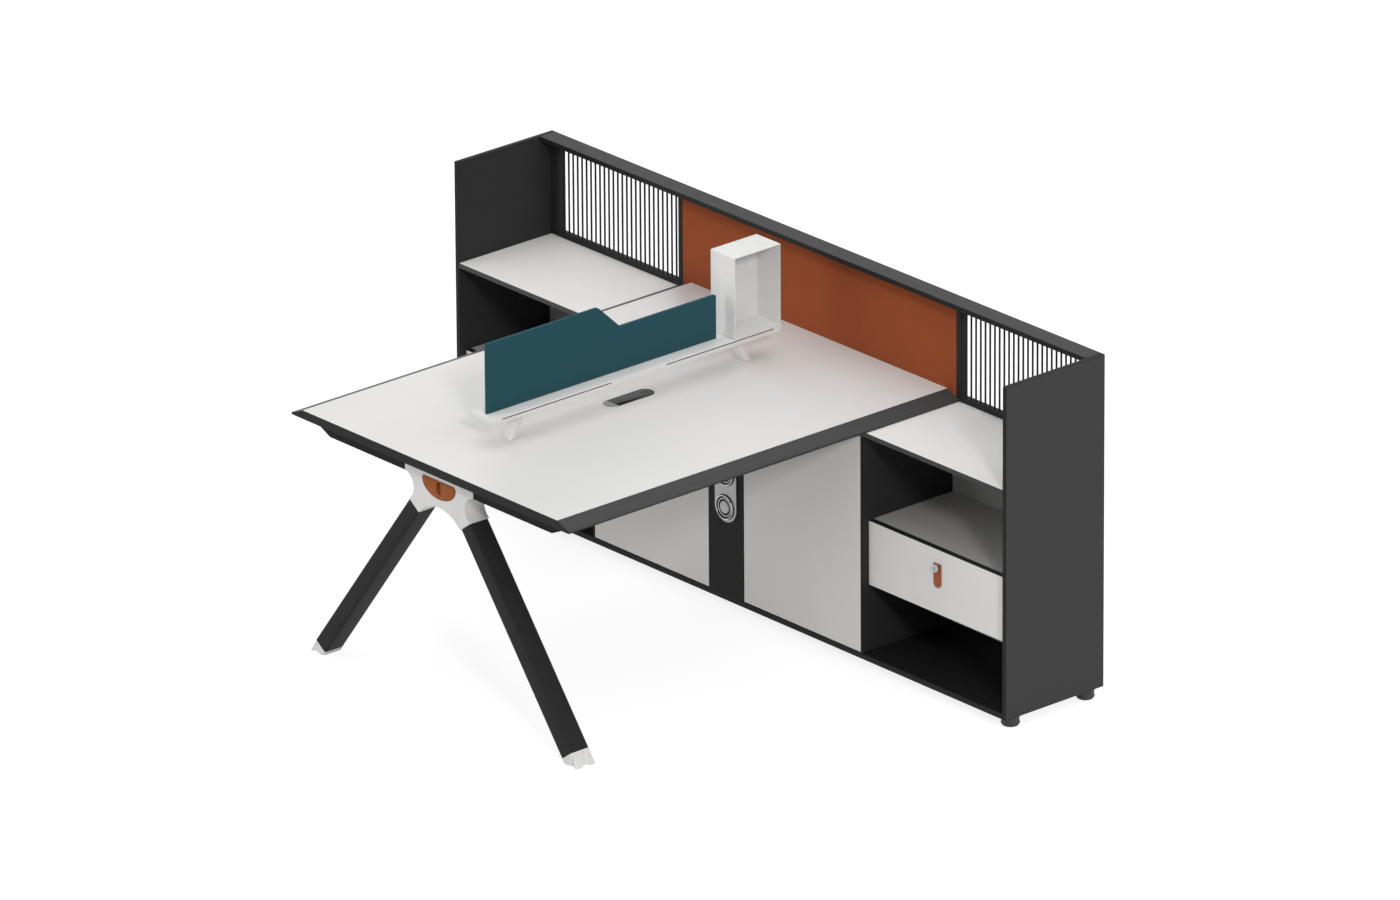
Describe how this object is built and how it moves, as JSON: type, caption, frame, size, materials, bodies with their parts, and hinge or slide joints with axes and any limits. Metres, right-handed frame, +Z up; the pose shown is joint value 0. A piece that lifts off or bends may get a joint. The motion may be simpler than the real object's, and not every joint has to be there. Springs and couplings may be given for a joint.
{
  "type": "office workstation",
  "caption": "Shared desk on an inverted V leg, joined at its rear to a long storage cabinet with drawers, doors and a back screen, with a raised bridge shelf and a divider.",
  "frame": {"origin": "on the floor, under the middle of the whole workstation's bounding box", "axes": "+X along the cabinet, +Y from the desk's free end towards the cabinet's back, +Z up"},
  "size_m": [2.4, 1.504, 1.1148],
  "materials": {
    "board_dark": "graphite melamine board, fine matt texture",
    "board_white": "warm white melamine board with graphite edge bands",
    "laminate_white": "warm white satin laminate",
    "metal_dark": "graphite powder coat",
    "metal_white": "white powder coat",
    "plastic_dark": "dark grey moulded plastic",
    "plastic_grey": "light grey moulded plastic",
    "zinc": "satin grey metal",
    "chrome": "polished",
    "panel_orange": "burnt orange woven cover on a board core",
    "panel_teal": "deep teal woven cover on a board core",
    "plastic_orange": "orange moulded plastic",
    "leather": "tan orange leather, stitched edge"
  },
  "bodies": {
    "frame": {"left_side_panel": "board_dark", "right_side_panel": "board_dark", "left_partition": "board_dark", "right_partition": "board_dark", "bottom_board": "board_dark", "centre_top_board": "board_dark", "column_cover": "board_dark", "left_column_side": "board_dark", "right_column_side": "board_dark", "left_drawer_base": "board_dark", "right_drawer_base": "board_dark", "top_beam": "board_dark", "desktop_core": "board_dark", "left_top_board": "board_white", "right_top_board": "board_white", "back_panel": "board_white", "left_drawer_shelf": "board_white", "right_drawer_shelf": "board_white", "desktop_laminate": "laminate_white", "left_grille": "metal_dark", "right_grille": "metal_dark", "front_crossbeam": "metal_dark", "cable_channel": "metal_dark", "channel_bracket": "metal_dark", "left_leg": "metal_dark", "right_leg": "metal_dark", "leg_connector": "metal_white", "left_leg_foot": "metal_white", "right_leg_foot": "metal_white", "bridge_shelf": "metal_white", "front_bridge_leg": "metal_white", "rear_bridge_leg": "metal_white", "bridge_box": "metal_white", "front_left_foot": "plastic_dark", "front_right_foot": "plastic_dark", "rear_left_foot": "plastic_dark", "rear_right_foot": "plastic_dark", "centre_foot": "plastic_dark", "grommet_frame": "plastic_grey", "left_drawer_left_runner": "zinc", "left_drawer_right_runner": "zinc", "right_drawer_left_runner": "zinc", "right_drawer_right_runner": "zinc", "outlet_plate": "zinc", "upper_outlet": "zinc", "lower_outlet": "zinc", "centre_panel": "panel_orange", "desk_screen": "panel_teal", "connector_insert": "plastic_orange"},
    "left_drawer": {"left_drawer_front": "board_white", "left_drawer_box": "metal_white", "left_drawer_pull": "leather"},
    "right_drawer": {"right_drawer_front": "board_white", "right_drawer_box": "metal_white", "right_drawer_pull": "leather"},
    "left_lock": {"left_drawer_lock": "chrome"},
    "right_lock": {"right_drawer_lock": "chrome"},
    "left_door_leaf": {"left_door": "board_white"},
    "right_door_leaf": {"right_door": "board_white"},
    "grommet_lid": {"grommet_flap": "plastic_dark"}
  },
  "joints": [
    {"name": "left_drawer_slide", "type": "slide", "parent": "frame", "child": "left_drawer", "axis": [0, -1, 0], "range_m": [0, 0.24]},
    {"name": "left_lock_turn", "type": "hinge", "parent": "left_drawer", "child": "left_lock", "pos_m": [-0.8875, 0.3814, 0.4025], "axis": [0, 1, 0], "range_deg": [0, 90]},
    {"name": "left_door_hinge", "type": "hinge", "parent": "frame", "child": "left_door_leaf", "pos_m": [-0.5762, 0.378, 0.386], "axis": [0, 0, -1], "range_deg": [0, 90]},
    {"name": "right_drawer_slide", "type": "slide", "parent": "frame", "child": "right_drawer", "axis": [0, -1, 0], "range_m": [0, 0.24]},
    {"name": "right_lock_turn", "type": "hinge", "parent": "right_drawer", "child": "right_lock", "pos_m": [0.8875, 0.3814, 0.4025], "axis": [0, 1, 0], "range_deg": [0, 90]},
    {"name": "right_door_hinge", "type": "hinge", "parent": "frame", "child": "right_door_leaf", "pos_m": [0.5762, 0.378, 0.386], "axis": [0, 0, 1], "range_deg": [0, 90]},
    {"name": "grommet_lid_hinge", "type": "hinge", "parent": "frame", "child": "grommet_lid", "pos_m": [-0.023, 0.002, 0.7663], "axis": [0, -1, 0], "range_deg": [0, 100]}
  ]
}
